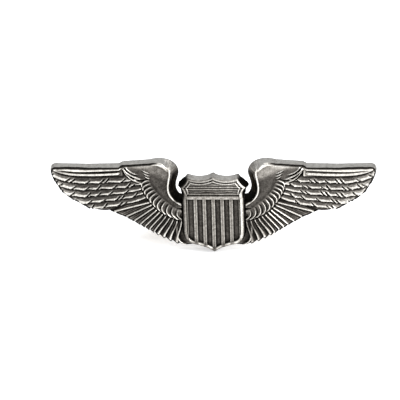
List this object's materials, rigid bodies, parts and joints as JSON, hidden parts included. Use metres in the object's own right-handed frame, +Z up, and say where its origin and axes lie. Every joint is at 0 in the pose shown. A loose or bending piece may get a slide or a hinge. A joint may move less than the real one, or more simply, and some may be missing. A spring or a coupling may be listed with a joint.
{
  "type": "pilot wings badge",
  "caption": "Struck metal wings with a striped shield in the middle, worn on cloth by pointed posts that squeeze-release clutches hold.",
  "frame": {"origin": "on the centre post's axis, in the plane of the pads' outer faces where the cloth lies", "axes": "+X along the wings towards the viewer's right, +Z up as worn, +Y along the posts into the cloth"},
  "size_m": [0.076, 0.0125, 0.0233],
  "materials": {
    "antique_silver": "oxidised silver plate, polished on the high points",
    "antique_silver_shield": "oxidised silver plate, polished on the high points",
    "solder_plate": "dull solder",
    "post_brass": "drawn brass",
    "clutch_brass": "bright stamped brass"
  },
  "bodies": {
    "badge": {"wings": "antique_silver", "shield": "antique_silver_shield", "left_pad": "solder_plate", "left_post": "post_brass", "centre_pad": "solder_plate", "centre_post": "post_brass", "right_pad": "solder_plate", "right_post": "post_brass"},
    "left_clutch": {"left_clutch_cup": "clutch_brass", "left_clutch_cap": "clutch_brass"},
    "left_clutch_upper_lever": {"left_clutch_upper_lever": "clutch_brass"},
    "left_clutch_lower_lever": {"left_clutch_lower_lever": "clutch_brass"},
    "centre_clutch": {"centre_clutch_cup": "clutch_brass", "centre_clutch_cap": "clutch_brass"},
    "centre_clutch_left_lever": {"centre_clutch_left_lever": "clutch_brass"},
    "centre_clutch_right_lever": {"centre_clutch_right_lever": "clutch_brass"},
    "right_clutch": {"right_clutch_cup": "clutch_brass", "right_clutch_cap": "clutch_brass"},
    "right_clutch_upper_lever": {"right_clutch_upper_lever": "clutch_brass"},
    "right_clutch_lower_lever": {"right_clutch_lower_lever": "clutch_brass"}
  },
  "joints": [
    {"name": "left_clutch_pull", "type": "slide", "parent": "badge", "child": "left_clutch", "axis": [0, 1, 0], "range_m": [0, 0.009]},
    {"name": "left_clutch_upper_lever_squeeze", "type": "hinge", "parent": "left_clutch", "child": "left_clutch_upper_lever", "pos_m": [-0.014, 0.0061, 0.0029], "axis": [-1, 0, 0], "range_deg": [0, 12], "stiffness_Nm_per_rad": 0.001},
    {"name": "left_clutch_lower_lever_squeeze", "type": "hinge", "parent": "left_clutch", "child": "left_clutch_lower_lever", "pos_m": [-0.014, 0.0061, -0.0029], "axis": [1, 0, 0], "range_deg": [0, 12], "stiffness_Nm_per_rad": 0.001},
    {"name": "centre_clutch_pull", "type": "slide", "parent": "badge", "child": "centre_clutch", "axis": [0, 1, 0], "range_m": [0, 0.009]},
    {"name": "centre_clutch_left_lever_squeeze", "type": "hinge", "parent": "centre_clutch", "child": "centre_clutch_left_lever", "pos_m": [-0.0029, 0.0061, 0], "axis": [0, 0, -1], "range_deg": [0, 12], "stiffness_Nm_per_rad": 0.001},
    {"name": "centre_clutch_right_lever_squeeze", "type": "hinge", "parent": "centre_clutch", "child": "centre_clutch_right_lever", "pos_m": [0.0029, 0.0061, 0], "axis": [0, 0, 1], "range_deg": [0, 12], "stiffness_Nm_per_rad": 0.001},
    {"name": "right_clutch_pull", "type": "slide", "parent": "badge", "child": "right_clutch", "axis": [0, 1, 0], "range_m": [0, 0.009]},
    {"name": "right_clutch_upper_lever_squeeze", "type": "hinge", "parent": "right_clutch", "child": "right_clutch_upper_lever", "pos_m": [0.014, 0.0061, 0.0029], "axis": [-1, 0, 0], "range_deg": [0, 12], "stiffness_Nm_per_rad": 0.001},
    {"name": "right_clutch_lower_lever_squeeze", "type": "hinge", "parent": "right_clutch", "child": "right_clutch_lower_lever", "pos_m": [0.014, 0.0061, -0.0029], "axis": [1, 0, 0], "range_deg": [0, 12], "stiffness_Nm_per_rad": 0.001}
  ]
}
